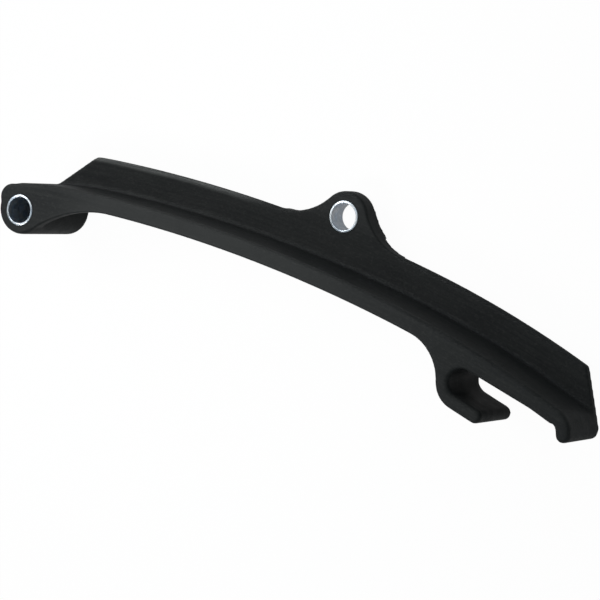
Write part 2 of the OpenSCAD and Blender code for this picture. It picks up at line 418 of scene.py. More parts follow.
    def wear(self, material: bpy.types.Material, node: str) -> None:
        """Puts a material on the piece, hangs it on the body and hides the CAD node that it stands for.

        Args:
            material: The finish.
            node: Name of the CAD node.
        """
        self.clear_bench()
        self.obj.data.materials.clear()
        self.obj.data.materials.append(material)
        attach(self.obj, BODY)
        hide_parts(node)
        LOG.info("%s: %d faces", self.obj.name, len(self.obj.data.polygons))


@dataclass(frozen=True)
class Grain:
    """One noise, with its cells for each metre, octaves and the strength of the finer ones."""

    scale: float
    detail: float
    roughness: float
    stretch: Place = (1.0, 1.0, 1.0)


@dataclass(frozen=True)
class Relief:
    """How strongly a noise shows as bump, and its depth."""

    strength: float
    depth: float


class NodeBench:
    """Lays out the nodes of one material."""

    def __init__(self, name: str) -> None:
        """Starts a material with a principled shader.

        Args:
            name: Name of the material.
        """
        self.material = bpy.data.materials.new(name)
        self.material.use_nodes = True
        self.tree = self.material.node_tree
        self.shader = self.tree.nodes["Principled BSDF"]
        self.coordinates = self.tree.nodes.new("ShaderNodeTexCoord").outputs["Object"]

    def link(self, source: Socket, target: Socket) -> None:
        """Joins two sockets."""
        self.tree.links.new(source, target)

    def math(self, operation: str, first: Socket, second: Socket | float) -> Socket:
        """Works out one value from two.

        Args:
            operation: Name of the operation.
            first: The first value.
            second: The second value, a socket or a number.

        Returns:
            The result.
        """
        node = self.tree.nodes.new("ShaderNodeMath")
        node.operation = operation
        self.link(first, node.inputs[0])
        if isinstance(second, Socket):
            self.link(second, node.inputs[1])
        else:
            node.inputs[1].default_value = second
        return node.outputs["Value"]

    def product(self, first: Socket, *others: Socket | float) -> Socket:
        """Multiplies values.

        Args:
            first: The first value.
            *others: The other values, sockets or numbers.

        Returns:
            The product.
        """
        result = first
        for other in others:
            result = self.math("MULTIPLY", result, other)
        return result

    def round_axis(self, centre: Vector, radius: float) -> tuple[Socket, Socket, Socket]:
        """Makes coordinates that run round an upright axis.

        Args:
            centre: Point on the axis.
            radius: Radius at which the first coordinate is a true length.

        Returns:
            The distances along the arc, out from the axis and up.
        """
        shift = self.tree.nodes.new("ShaderNodeVectorMath")
        shift.operation = "SUBTRACT"
        shift.inputs[1].default_value = centre
        self.link(self.coordinates, shift.inputs[0])
        parts = self.tree.nodes.new("ShaderNodeSeparateXYZ")
        self.link(shift.outputs["Vector"], parts.inputs["Vector"])
        x, y, z = (parts.outputs[axis] for axis in "XYZ")
        squares = self.math("ADD", self.product(x, x), self.product(y, y))
        run = self.product(self.math("ARCTAN2", x, y), radius)
        return run, self.math("POWER", squares, ROOT), z

    def point(self, *values: Socket) -> Socket:
        """Joins three values into one point.

        Args:
            *values: The point's X, Y and Z.

        Returns:
            The point.
        """
        node = self.tree.nodes.new("ShaderNodeCombineXYZ")
        for value, target in zip(values, node.inputs):
            self.link(value, target)
        return node.outputs["Vector"]

    def slope(self, value: Socket, limits: Limits) -> Socket:
        """Maps a value to a share that rises smoothly from 0 to 1.

        Args:
            value: The value.
            limits: Values at which the share is 0 and 1.

        Returns:
            The share.
        """
        node = self.tree.nodes.new("ShaderNodeMapRange")
        node.interpolation_type = "SMOOTHSTEP"
        node.inputs["From Min"].default_value, node.inputs["From Max"].default_value = limits
        self.link(value, node.inputs["Value"])
        return node.outputs["Result"]

    def spread(self, value: Socket, limits: Limits) -> Socket:
        """Maps a noise's usual range onto two limits.

        Args:
            value: The noise.
            limits: Values at the ends of the noise's usual range.

        Returns:
            The mapped value.
        """
        node = self.tree.nodes.new("ShaderNodeMapRange")
        node.inputs["From Min"].default_value, node.inputs["From Max"].default_value = NOISE_RANGE
        node.inputs["To Min"].default_value, node.inputs["To Max"].default_value = limits
        self.link(value, node.inputs["Value"])
        return node.outputs["Result"]

    def noise(self, grain: Grain, place: Socket | None = None) -> Socket:
        """Adds a noise.

        Args:
            grain: Scale and character of the noise.
            place: Coordinates to use in place of the piece's own.

        Returns:
            The noise's value.
        """
        mapping = self.tree.nodes.new("ShaderNodeMapping")
        mapping.inputs["Scale"].default_value = grain.stretch
        self.link(place or self.coordinates, mapping.inputs["Vector"])
        node = self.tree.nodes.new("ShaderNodeTexNoise")
        node.inputs["Scale"].default_value = grain.scale
        node.inputs["Detail"].default_value = grain.detail
        node.inputs["Roughness"].default_value = grain.roughness
        self.link(mapping.outputs["Vector"], node.inputs["Vector"])
        return node.outputs["Fac"]

    def ramp(self, value: Socket, limits: Limits, first: Colour, last: Colour) -> Socket:
        """Maps a value to a blend of two colours.

        Args:
            value: The value.
            limits: Values at which the first and the last colour are reached.
            first: Colour at the lower limit.
            last: Colour at the upper limit.

        Returns:
            The colour.
        """
        node = self.tree.nodes.new("ShaderNodeValToRGB")
        for element, place, colour in zip(node.color_ramp.elements, limits, (first, last)):
            element.position = place
            element.color = (*colour, 1.0)
        self.link(value, node.inputs["Fac"])
        return node.outputs["Color"]

    def mix(self, share: Socket, first: Socket, colour: Colour) -> Socket:
        """Blends a plain colour over another.

        Args:
            share: Share of the plain colour.
            first: The colour under it.
            colour: The plain colour.

        Returns:
            The blend.
        """
        node = self.tree.nodes.new("ShaderNodeMix")
        node.data_type = "RGBA"
        self.link(share, node.inputs[MIX_SHARE])
        self.link(first, node.inputs[MIX_FIRST])
        node.inputs[MIX_SECOND].default_value = (*colour, 1.0)
        return node.outputs[MIX_RESULT]

    def bump(self, layers: Sequence[tuple[Socket, Relief]]) -> None:
        """Stacks bumps on the shader's normal.

        Args:
            layers: Heights with their reliefs, from the lowest up.
        """
        normal = None
        for height, relief in layers:
            node = self.tree.nodes.new("ShaderNodeBump")
            node.inputs["Strength"].default_value = relief.strength
            node.inputs["Distance"].default_value = relief.depth
            self.link(height, node.inputs["Height"])
            if normal is not None:
                self.link(normal, node.inputs["Normal"])
            normal = node.outputs["Normal"]
        self.link(normal, self.shader.inputs["Normal"])


@dataclass(frozen=True)
class MouldedNylon:
    """Black glass-filled nylon, satin and finely grained, with faint streaks along the filler's flow.

    The front face carries painted light, a paler tone which fades in beside the end boss and out towards
    the toe and leaves its lower edge shaded, and the web's top edge carries a painted highlight between
    its start and the ear. Both are placed by the flow's coordinates: run along the rail, out across it and
    level up from the seat.
    """

    slot: str = "nylon"
    deep: Colour = (0.0152, 0.0167, 0.0176)
    pale: Colour = (0.0220, 0.0239, 0.0237)
    streak: Colour = (0.0296, 0.0315, 0.0309)
    fleck: Colour = (0.052, 0.053, 0.051)
    # Painted light: a paler tone on the front face that stands in for the light falling on it and not on
    # the shaded web
    skin: Colour = (0.0440, 0.0460, 0.0453)
    # Painted highlight along the web's rounded top edge, standing in for the light that the edge catches
    painted_highlight: Colour = (0.160, 0.162, 0.158)
    specular: float = 0.16
    roughness: Limits = (0.46, 0.60)
    flow_centre: Vector = Vector((-0.0654, -0.5129, 0.0)).freeze()
    flow_radius: float = 0.527
    cloud: Grain = Grain(38.0, 4.0, 0.6, (0.45, 1.0, 1.0))
    cloud_limits: Limits = (0.35, 0.68)
    cloud_relief: Relief = Relief(0.2, 0.0004)
    streaks: Grain = Grain(1100.0, 3.0, 0.6, (0.05, 1.0, 1.0))
    streak_share: Limits = (-0.3, 0.75)
    streak_relief: Relief = Relief(0.16, 0.00008)
    flecks: Grain = Grain(1500.0, 2.0, 0.5, (0.6, 1.0, 1.0))
    fleck_share: Limits = (-0.45, 0.3)
    sheen: Grain = Grain(260.0, 4.0, 0.7)
    grain: Grain = Grain(1500.0, 4.0, 0.7)
    grain_relief: Relief = Relief(0.5, 0.00016)
    # Where the painted light lies: fading in beside the end boss, out towards the toe, and off the front
    # face's lower edge, which stays shaded
    painted_light_share: float = 0.65
    painted_light_start: Limits = (0.075, 0.100)
    painted_light_end: Limits = (0.240, 0.160)
    painted_light_level: Limits = (0.0265, 0.0278)
    # Where the painted highlight lies: out at the web's top edge, at its front, between its start and the
    # ear, broken up by the streaks
    highlight_out: Limits = (0.5350, 0.5368)
    highlight_end: Limits = (0.148, 0.132)
    highlight_level: Limits = (0.0078, 0.0086)
    highlight_share: Limits = (0.3, 1.0)

    def material(self) -> bpy.types.Material:
        """Builds the finish.

        Returns:
            The material.
        """
        bench = NodeBench("glass_filled_nylon")
        run, out, level = bench.round_axis(self.flow_centre, self.flow_radius)
        flow = bench.point(run, out, level)
        cloud = bench.noise(self.cloud, flow)
        streaks = bench.noise(self.streaks, flow)
        flecks = bench.noise(self.flecks, flow)
        # Share of painted light on the front face
        on_painted_light = bench.product(
            bench.slope(run, self.painted_light_start),
            bench.slope(run, self.painted_light_end),
            bench.slope(level, self.painted_light_level),
            self.painted_light_share,
        )
        # Share of painted highlight on the web's top edge
        on_painted_highlight = bench.product(
            bench.slope(out, self.highlight_out),
            bench.slope(level, self.highlight_level),
            bench.slope(run, self.highlight_end),
            bench.spread(streaks, self.highlight_share),
        )
        colour = bench.ramp(cloud, self.cloud_limits, self.deep, self.pale)
        colour = bench.mix(bench.spread(streaks, self.streak_share), colour, self.streak)
        colour = bench.mix(bench.spread(flecks, self.fleck_share), colour, self.fleck)
        # Lays the painted light over the front face
        colour = bench.mix(on_painted_light, colour, self.skin)
        # Lays the painted highlight over the web's top edge
        colour = bench.mix(on_painted_highlight, colour, self.painted_highlight)
        bench.link(colour, bench.shader.inputs["Base Color"])
        bench.link(bench.spread(bench.noise(self.sheen), self.roughness), bench.shader.inputs["Roughness"])
        bench.shader.inputs["Specular IOR Level"].default_value = self.specular
        grain = bench.noise(self.grain)
        bench.bump(((cloud, self.cloud_relief), (streaks, self.streak_relief), (grain, self.grain_relief)))
        return bench.material


@dataclass(frozen=True)
class ZincPlate:
    """Bright zinc on turned steel: fine turning rings and the faint blue of a clear passivation."""

    slot: str = "zinc_steel"
    pale: Colour = (0.80, 0.83, 0.86)
    blue: Colour = (0.62, 0.71, 0.82)
    roughness: Limits = (0.24, 0.40)
    bloom: Grain = Grain(260.0, 3.0, 0.6)
    bloom_limits: Limits = (0.35, 0.62)
    bloom_relief: Relief = Relief(0.1, 0.00006)
    rings: Grain = Grain(900.0, 3.0, 0.6, (0.04, 0.04, 4.0))
    ring_relief: Relief = Relief(0.18, 0.00003)

    def material(self) -> bpy.types.Material:
        """Builds the finish.

        Returns:
            The material.
        """
        bench = NodeBench("zinc_plate")
        bloom = bench.noise(self.bloom)
        rings = bench.noise(self.rings)
        colour = bench.ramp(bloom, self.bloom_limits, self.blue, self.pale)
        bench.link(colour, bench.shader.inputs["Base Color"])
        bench.shader.inputs["Metallic"].default_value = 1.0
        bench.link(bench.spread(rings, self.roughness), bench.shader.inputs["Roughness"])
        bench.bump(((rings, self.ring_relief), (bloom, self.bloom_relief)))
        return bench.material


@dataclass(frozen=True)
class ArcRun:
    """One stretch of the ledge, at one radius."""

    radius: float
    length: float
    steps: int

    @property
    def turn(self) -> float:
        """Degrees that the stretch turns through."""
        return math.degrees(self.length / self.radius)


@dataclass(frozen=True)
class LedgeCurve:
    """The chain of tangent arcs that the ledge follows, from over the end bolt to the toe."""

    start_height: float = 8.65
    lead: ArcRun = ArcRun(129.0, 21.3, 12)
    main: ArcRun = ArcRun(527.0, 119.6, 48)
    end: ArcRun = ArcRun(339.0, 61.6, 30)
    toe_radius: float = 8.0
    toe_steps: int = 16

    @property
    def runs(self) -> tuple[ArcRun, ...]:
        """The stretches in order."""
        return self.lead, self.main, self.end

    def lean_at(self, index: int) -> float:
        """Gives the lean of the ledge's normal where a stretch starts; the toe comes after the last."""
        return sum(run.turn for run in self.runs[:index])

    def centre(self, index: int) -> Vector:
        """Finds the centre of a stretch.

        Args:
            index: Place of the stretch in order; the toe comes after the last.

        Returns:
            The centre.
        """
        radii = [run.radius for run in self.runs] + [self.toe_radius]
        place = Vector((0.0, self.start_height - radii[0], 0.0))
        for k in range(index):
            place = lean(place, radii[k] - radii[k + 1], self.lean_at(k + 1))
        return place

    @property
    def main_pole(self) -> Vector:
        """Centre of the main stretch."""
        return self.centre(self.runs.index(self.main))

    @property
    def end_pole(self) -> Vector:
        """Centre of the end stretch."""
        return self.centre(self.runs.index(self.end))

    @property
    def end_lean(self) -> float:
        """Lean of the ledge's normal where the end stretch starts."""
        return self.lean_at(self.runs.index(self.end))

    @property
    def toe(self) -> Vector:
        """Centre of the toe's curl."""
        return self.centre(len(self.runs))

    @property
    def toe_lean(self) -> float:
        """Lean of the ledge's normal where the toe starts to curl."""
        return self.lean_at(len(self.runs))

    @property
    def toe_turn(self) -> float:
        """Degrees that the toe curls through until it points straight down."""
        return QUARTER_TURN - self.toe_lean


@dataclass
class RailSizes:
    """Sizes of the moulding, where t is a thickness, h a height, w a width and r a radius.

    An edge is the width of a rounded edge. The fold's fillet is written under its real size, because
    the melting of the forms widens it.

    Attributes:
        seat: Level of the web's back, over the seat of the end bolt.
        plate_t: Thickness of the ledge's plate, up to the hook.
        far_t: Its thickness where the toe starts.
        toe_t: Its thickness at the toe's tip.
        toe_thinning: How many times sooner than the curl ends the toe reaches that thickness.
        web_root: Depth to which the web is sunk in the plate.
        web_start: Place of the raked start of the web along X.
        web_toe_turn: Degrees that the web follows the toe's curl before its raked end is cut.
        foot_room: Height of the web's foot over its fillet.
        corner_in: How far the corner where the ledge starts lies inside the end boss's square.
        toe_drop: Length of the toe's straight tip.
        proud: How far the sleeves stand out of the moulding.
        end_boss_rise: Height of the end boss's middle over the bolt.
        ear_fillet_r: Radius of the hollow curves beside the ear.
        ear_pad_h: How far the ear's seat lies behind the web's back.
        ear_pad_drop: How far under the bolt the pad's seat ends.
        ear_pad_run: How far under the bolt the pad runs out.
        ear_pad_step: Height of the step at the end of the pad's seat.
        ear_pad_reach: Half the width of the block that the pad is cut from.
        gusset_r: Radius of the hollow curve from the end boss to the plate.
        hook_run: Distance of the slot's round end along the end stretch.
        slot_roof: Plastic between the plate and the slot.
        slot_roof_len: Length of the arm over the slot.
        slot_flare: Degrees that this arm opens towards the mouth.
        slot_edge: Rounded front edge of the slot.
        lip_len: Length of the hook's lip past the slot's middle.
        curve_edge: Rounded front edge of the gusset and the hook's curve.
        bite: How far joined forms reach into each other.
        clear: Step that keeps the faces of two joined forms out of one plane.
    """

    seat: float = 6.1
    web_t: float = 3.0
    ledge_w: float = 19.5
    plate_t: float = 5.6
    far_t: float = 5.1
    toe_t: float = 4.6
    toe_thinning: float = 4.0
    toe_drop: float = 0.8
    web_h: float = 10.1
    web_root: float = 2.4
    web_start: float = 1.4
    web_start_slope: float = 31.0
    web_end_rake: float = 10.8
    web_toe_turn: float = 60.0
    foot_room: float = 0.05
    front_edge: float = 1.1
    back_edge: float = 0.6
    web_edge: float = 0.9
    toe_edge: float = 1.8
    fold_fillet: float = 0.7
    corner_r: float = 4.3
    corner_in: float = 0.25
    proud: float = 0.2
    end_boss_r: float = 8.3
    end_boss_rise: float = 0.5
    end_boss_front_edge: float = 1.5
    end_boss_back_edge: float = 0.7
    ear_x: float = 108.4
    ear_r: float = 8.0
    ear_back_edge: float = 1.5
    ear_front_edge: float = 0.6
    ear_fillet_r: float = 20.0
    ear_pad_h: float = 4.3
    ear_pad_drop: float = 6.5
    ear_pad_step: float = 1.2
    ear_pad_run: float = 17.0
    ear_pad_reach: float = 32.0
    gusset_r: float = 43.0
    gusset_t: float = 4.0
    hook_run: float = 30.8
    slot_r: float = 4.2
    slot_roof: float = 0.9
    slot_roof_len: float = 25.0
    slot_flare: float = 1.2
    slot_edge: float = 1.3
    hook_wall: float = 4.3
    hook_fillet_r: float = 15.0
    lip_len: float = 10.6
    curve_edge: float = 0.7
    sleeve_hole_r: float = 5.02
    bite: float = 0.1
    clear: float = 0.02

    @property
    def back(self) -> float:
        """Level of the web's back."""
        return self.seat

    @property
    def web(self) -> float:
        """Level of the web's front."""
        return self.seat + self.web_t

    @property
    def front(self) -> float:
        """Level of the front face."""
        return self.web + self.ledge_w

    @property
    def ear_seat(self) -> float:
        """Level of the seat of the middle bolt's sleeve."""
        return self.seat - self.ear_pad_h


@dataclass
class GuideRail:
    """The black moulding: ledge, web, end boss, gusset, ear, hook and toe in one piece."""

    size: RailSizes = field(default_factory=RailSizes)
    curve: LedgeCurve = field(default_factory=LedgeCurve)
    finish: MouldedNylon = MouldedNylon()
    name: str = "moulded_rail"
    node: str = "guide_rail"
    voxel: float = 0.5
    smoothing: float = 0.5
    smoothing_passes: int = 4
    gusset_steps: int = 28
    hollow_steps: int = 20
    hook_steps: int = 32
    wall_steps: int = 12
    web_toe_steps: int = 12

    def build(self) -> Workpiece:
        """Models the forms, melts them into one moulding and bores it for the sleeves.

        Returns:
            The finished moulding.
        """
        rail = self.plate()
        forms = (
            self.toe_tip, self.web, self.start_corner, self.end_boss, self.gusset,
            self.ear, self.hook, self.lip_tip, self.hook_curve,
        )
        for form in forms:
            rail.join(form(), Join.UNION)
        rail.modify("REMESH", mode="VOXEL", voxel_size=self.voxel * MM, use_smooth_shade=True)
        rail.modify("SMOOTH", factor=self.smoothing, iterations=self.smoothing_passes)
        for middle in (self.end_bolt, self.ear_middle):
            rail.join(self.sleeve_hole(middle), Join.CUT)
        return rail.rename(self.name)

    def dress(self, piece: Workpiece) -> None:
        """Gives the moulding its finish."""
        piece.wear(self.finish.material(), self.node)

    @property
    def end_bolt(self) -> Vector:
        """Point on the end bolt's axis."""
        return Vector((0.0, 0.0, 0.0))

    @property
    def end_boss_middle(self) -> Vector:
        """Middle of the end boss."""
        return self.end_bolt + Vector((0.0, self.size.end_boss_rise, 0.0))

    @property
    def corner_middle(self) -> Vector:
        """Middle of the rounded corner where the ledge starts."""
        inset = self.size.end_boss_r - self.size.corner_in - self.size.corner_r
        return self.end_boss_middle + Vector((-inset, inset, 0.0))

    @property
    def ear_middle(self) -> Vector:
        """Middle of the ear."""
        return Vector((self.size.ear_x, 0.0, 0.0))

    @property
    def hook_lean(self) -> float:
        """Lean of the ledge's normal over the hook's slot."""
        return self.curve.end_lean + math.degrees(self.size.hook_run / self.curve.end.radius)

    @property
    def slot_middle(self) -> Vector:
        """Middle of the slot's round end."""
        sink = self.size.plate_t + self.size.slot_roof + self.size.slot_r
        return lean(self.curve.end_pole, self.curve.end.radius - sink, self.hook_lean)

    def along_ledge(self, section: Workpiece) -> Workpiece:
        """Sweeps a flat section along the ledge's arcs.

        Args:
            section: The section, upright over the end bolt.

        Returns:
            The same workpiece, with its far end selected.
        """
        section.pick_all()
        for index, run in enumerate(self.curve.runs):
            section.spin(self.curve.centre(index), run.turn, run.steps)
        return section

    def plate(self) -> Workpiece:
        """Sweeps the plate's section along the ledge, round the toe and down to its tip.

        Returns:
            The plate, thinned towards the toe.
        """
        s, curve = self.size, self.curve
        top, low = curve.start_height, curve.start_height - s.plate_t
        corners = ((low, s.back), (top, s.back), (top, s.front), (low, s.front))
        piece = Workpiece.section("plate", corners)
        piece.round_corners(lambda p: p.z > s.front - NEAR, s.front_edge, EDGE_STEPS)
        piece.round_corners(lambda p: p.z < s.back + NEAR and p.y < low + NEAR, s.back_edge, FINE_STEPS)
        piece.round_corners(lambda p: p.z < s.back + NEAR and p.y > top - NEAR, s.toe_edge, EDGE_STEPS)
        self.along_ledge(piece).spin(curve.toe, curve.toe_turn, curve.toe_steps)
        piece.extrude(Vector((0.0, -s.toe_drop, 0.0)))
        start = self.corner_middle + Vector((0.0, s.corner_r - s.bite - top, 0.0))
        piece.pick(Pick.FACES, lambda p: abs(p.x) < NEAR).extrude(start)
        return piece.closed().move_corners(self.thinned)

    def thinned(self, point: Vector) -> Vector:
        """Places a corner of the plate where it thins from the hook to the toe's tip.

        Args:
            point: The corner as swept, at the plate's full thickness.

        Returns:
            Its place on the thinned plate.
        """
        s, curve = self.size, self.curve
        if point.y < curve.toe.y and point.x > curve.toe.x:
            depth = curve.toe.x + curve.toe_radius - point.x
            return point + Vector((depth * (1 - s.toe_t / s.plate_t), 0.0, 0.0))
        flat = Vector((point.x, point.y, 0.0))
        curl = flat - curve.toe
        turned = lean_of(curl)
        curled = turned >= curve.toe_lean - NEAR and point.x >= curve.toe.x
        if curled and curl.length <= curve.toe_radius + LOOSE:
            share = s.toe_thinning * (turned - curve.toe_lean) / curve.toe_turn
            thick = max(s.toe_t, s.far_t - share * (s.far_t - s.toe_t))
            return self.pressed(point, curve.toe, curve.toe_radius, thick)
        turned = lean_of(flat - curve.end_pole)
        if self.hook_lean <= turned <= curve.toe_lean + NEAR:
            share = (turned - self.hook_lean) / (curve.toe_lean - self.hook_lean)
            thick = s.plate_t - share * (s.plate_t - s.far_t)
            return self.pressed(point, curve.end_pole, curve.end.radius, thick)
        return point

    def pressed(self, point: Vector, centre: Vector, radius: float, thick: float) -> Vector:
        """Moves a corner of the plate towards the running face.

        Args:
            point: The corner, at the plate's full thickness.
            centre: Centre of the running face's arc there.
            radius: Radius of that arc.
            thick: Thickness of the plate there.

        Returns:
            The corner's place at that thickness.
        """
        way = Vector((point.x, point.y, 0.0)) - centre
        depth = radius - way.length
        moved = centre + way.normalized() * (radius - depth * thick / self.size.plate_t)
        return Vector((moved.x, moved.y, point.z))

    def web(self) -> Workpiece:
        """Sweeps the web, with its fillet foot, and trims its raked ends.

        Returns:
            The web.
        """
        s, curve = self.size, self.curve
        skin = curve.start_height + s.clear
        root, top = curve.start_height - s.web_root, curve.start_height + s.web_h
        foot = s.web + s.fold_fillet + s.foot_room
        corners = ((root, s.back), (top, s.back), (top, s.web), (skin, s.web), (skin, foot), (root, foot))
        piece = Workpiece.section("web", corners)

        def in_fold(p: Vector) -> bool:
            """Tells if a corner of the section is in the fold between web and plate."""
            return abs(p.y - skin) < NEAR and abs(p.z - s.web) < NEAR

        piece.round_corners(lambda p: p.y > top - NEAR, s.web_edge, FINE_STEPS)
        piece.round_corners(in_fold, s.fold_fillet, EDGE_STEPS)
        self.along_ledge(piece).spin(curve.toe, s.web_toe_turn, self.web_toe_steps)
        piece.closed()
        start_lean = math.degrees(math.asin(s.web_start / curve.lead.radius))
        start = lean(curve.centre(0), curve.lead.radius, start_lean)
        end_out = lean(Vector(), 1.0, QUARTER_TURN - s.web_end_rake)
        piece.trim(start, lean(Vector(), 1.0, -s.web_start_slope))
        piece.trim(curve.toe + curve.toe_radius * end_out, end_out)
        return piece.closed()

    def boss(self, name: str, middle: Vector, radius: float, levels: Pair, edges: Pair) -> Workpiece:
        """Stands a round boss with rounded back and front edges.

        Args:
            name: Name of the object.
            middle: Point on the boss's axis.
            radius: Radius of the boss.
            levels: Levels of its back and front.
            edges: Widths of its rounded back and front edges.

        Returns:
            The boss.
        """
        low, high = levels
        back_edge, front_edge = edges
        piece = Workpiece.drum(name, middle, radius, low, high)
        piece.round_edges(lambda p: p.z < low + NEAR, back_edge, EDGE_STEPS)
        piece.round_edges(lambda p: p.z > high - NEAR, front_edge, EDGE_STEPS)
        return piece.closed()

    def toe_tip(self) -> Workpiece:
        """Models the round tip of the toe.

        Returns:
            The tip.
        """
        s, curve = self.size, self.curve
        half = s.toe_t / 2
        middle = curve.toe + Vector((curve.toe_radius - half, -s.toe_drop, 0.0))
        return self.boss("toe_tip", middle, half, (s.back, s.front), (s.front_edge, s.front_edge))

    def start_corner(self) -> Workpiece:
        """Models the rounded corner where the ledge starts, beside the end boss's crown.

        Returns:
            The corner.
        """
        s = self.size
        levels, edges = (s.back, s.front), (s.back_edge, s.front_edge)
        return self.boss("start_corner", self.corner_middle, s.corner_r, levels, edges)

    def end_boss(self) -> Workpiece:
        """Models the boss of the end bolt, full depth.

        Returns:
            The boss.
        """
        s = self.size
        levels, edges = (s.proud, s.front), (s.end_boss_back_edge, s.end_boss_front_edge)
        return self.boss("end_boss", self.end_boss_middle, s.end_boss_r, levels, edges)

    def rounded_slab(
        self, name: str, corners: Sequence[Vector], middle: Vector, radius: float, low: float
    ) -> Workpiece:
        """Stands an outline up to the front face and rounds the front edge of its hollow curve.

        Args:
            name: Name of the object.
            corners: Corners of the outline, in order round it.
            middle: Centre of the hollow curve.
            radius: Radius of the hollow curve.
            low: Level of the slab's back.

        Returns:
            The slab.
        """
        s = self.size
        piece = Workpiece.slab(name, corners, low, s.front)

        def on_curve(p: Vector) -> bool:
            """Tells if a corner is on the hollow curve's front edge."""
            off = (Vector((p.x, p.y, 0.0)) - middle).length - radius
            return p.z > s.front - NEAR and abs(off) < NEAR

        return piece.round_edges(on_curve, s.curve_edge, FINE_STEPS).closed()

    def gusset(self) -> Workpiece:
        """Models the thin gusset that joins the end boss to the plate behind the front face.

        Returns:
            The gusset.
        """
        s, main, pole, boss = self.size, self.curve.main, self.curve.main_pole, self.end_boss_middle
        under = main.radius - s.plate_t
        inside = main.radius - s.plate_t / 2
        reach, rise = s.end_boss_r + s.gusset_r - s.bite, under - s.gusset_r + s.bite
        middle = meet(boss, reach, pole, rise, Side.LEFT)
        foot = (middle - pole).normalized()
        corners = arc_between(middle, s.gusset_r, foot, boss - middle, self.gusset_steps)
        corners += [boss, boss + Vector((0.0, s.end_boss_r - s.plate_t / 2, 0.0)), pole + foot * inside]
        return self.rounded_slab("gusset", corners, middle, s.gusset_r, s.front - s.gusset_t)

    def ear_neck(self) -> list[Vector]:
        """Works out the outline of the ear's neck, with its two hollow curves.

        Returns:
            The outline's corners.
        """
        s, main, pole, ear = self.size, self.curve.main, self.curve.main_pole, self.ear_middle
        fillet = s.ear_fillet_r
        reach, rise = s.ear_r + fillet - s.bite, main.radius + s.web_h + fillet - s.bite
        before = meet(ear, reach, pole, rise, Side.RIGHT)
        after = meet(ear, reach, pole, rise, Side.LEFT)
        corners = arc_between(before, fillet, pole - before, ear - before, self.hollow_steps)
        corners += arc_between(after, fillet, ear - after, pole - after, self.hollow_steps)
        inside = main.radius + s.web_h / 2
        return corners + [pole + (c - pole).normalized() * inside for c in (after, before)]

    def ear(self) -> Workpiece:
        """Models the ear of the middle bolt and the stepped pad behind it.

        Returns:
            The ear with its neck and pad.
        """
        s = self.size
        seat, inside = s.ear_seat + s.proud, s.back + s.web_t / 2
        side = (
            (s.ear_r, seat), (s.ear_r, inside), (-s.ear_pad_run, inside), (-s.ear_pad_run, s.back),
            (-s.ear_pad_drop, seat + s.ear_pad_step), (-s.ear_pad_drop, seat),
        )
        pad = Workpiece.section("pad", side, s.ear_x - s.ear_pad_reach).pick_all()
        pad.extrude(Vector((2 * s.ear_pad_reach, 0.0, 0.0))).closed()
        neck = self.ear_neck()
        pad.join(Workpiece.slab("pad_neck", neck, s.ear_seat - OVERCUT, s.web - s.clear), Join.COMMON)
        edges = (s.ear_back_edge, s.ear_front_edge)
        ear = self.boss("ear", self.ear_middle, s.ear_r, (seat, s.web), edges)
        ear.join(Workpiece.slab("neck", neck, s.back, s.web), Join.UNION)
        return ear.join(pad, Join.UNION)

    def in_hook(self, along: float, out: float, level: float = 0.0) -> Vector:
        """Places a point by its distances from the slot's middle.

        Args:
            along: Distance along the rail.
            out: Distance along the rail's normal.
            level: Distance up.

        Returns:
            The point.
        """
        way = lean(Vector(), along, self.hook_lean + QUARTER_TURN)
        normal = lean(Vector(), out, self.hook_lean)
        return self.slot_middle + way + normal + Vector((0.0, 0.0, level))

    def hook_place(self, point: Vector) -> Pair:
        """Measures a point from the slot's middle.

        Args:
            point: The point.

        Returns:
            Its distances along the rail and along the rail's normal.
        """
        off = point - self.slot_middle
        way = lean(Vector(), 1.0, self.hook_lean + QUARTER_TURN)
        normal = lean(Vector(), 1.0, self.hook_lean)
        return off.dot(way), off.dot(normal)

    def hook(self) -> Workpiece:
        """Sweeps the fork hook: a round end and two arms about the slot.

        Returns:
            The hook.
        """
        s, middle = self.size, self.slot_middle
        outer = s.slot_r + s.hook_wall
        corners = ((s.slot_r, s.back), (outer, s.back), (outer, s.front), (s.slot_r, s.front))
        piece = Workpiece.outline("hook", [self.in_hook(0.0, out, z) for out, z in corners])

        def at_front(out: float) -> Test:
            """Makes a test for the section's front corner at one distance from the slot's middle."""
            return lambda p: p.z > s.front - NEAR and abs(self.hook_place(p)[1] - out) < NEAR

        def at_roof(p: Vector) -> bool:
            """Tells if a corner is on the face from which the arm over the slot is drawn."""
            along, out = self.hook_place(p)
            return abs(along) < NEAR and out > 0

        piece.round_corners(at_front(outer), s.front_edge, EDGE_STEPS)
        piece.round_corners(at_front(s.slot_r), s.slot_edge, EDGE_STEPS)
        piece.pick_all().spin(middle, -HALF_TURN, self.hook_steps)
        piece.extrude(self.in_hook(s.lip_len - s.hook_wall / 2, 0.0) - middle)
        flare = math.radians(s.slot_flare)
        arm = self.in_hook(s.slot_roof_len * math.cos(flare), s.slot_roof_len * math.sin(flare))
        piece.pick(Pick.FACES, at_roof).extrude(arm - middle)
        return piece.closed()

    def lip_tip(self) -> Workpiece:
        """Models the round tip of the hook's lip.

        Returns:
            The tip.
        """
        s = self.size
        half = s.hook_wall / 2
        middle = self.in_hook(s.lip_len - half, -s.slot_r - half)
        return self.boss("lip_tip", middle, half, (s.back, s.front), (s.back_edge, s.front_edge))

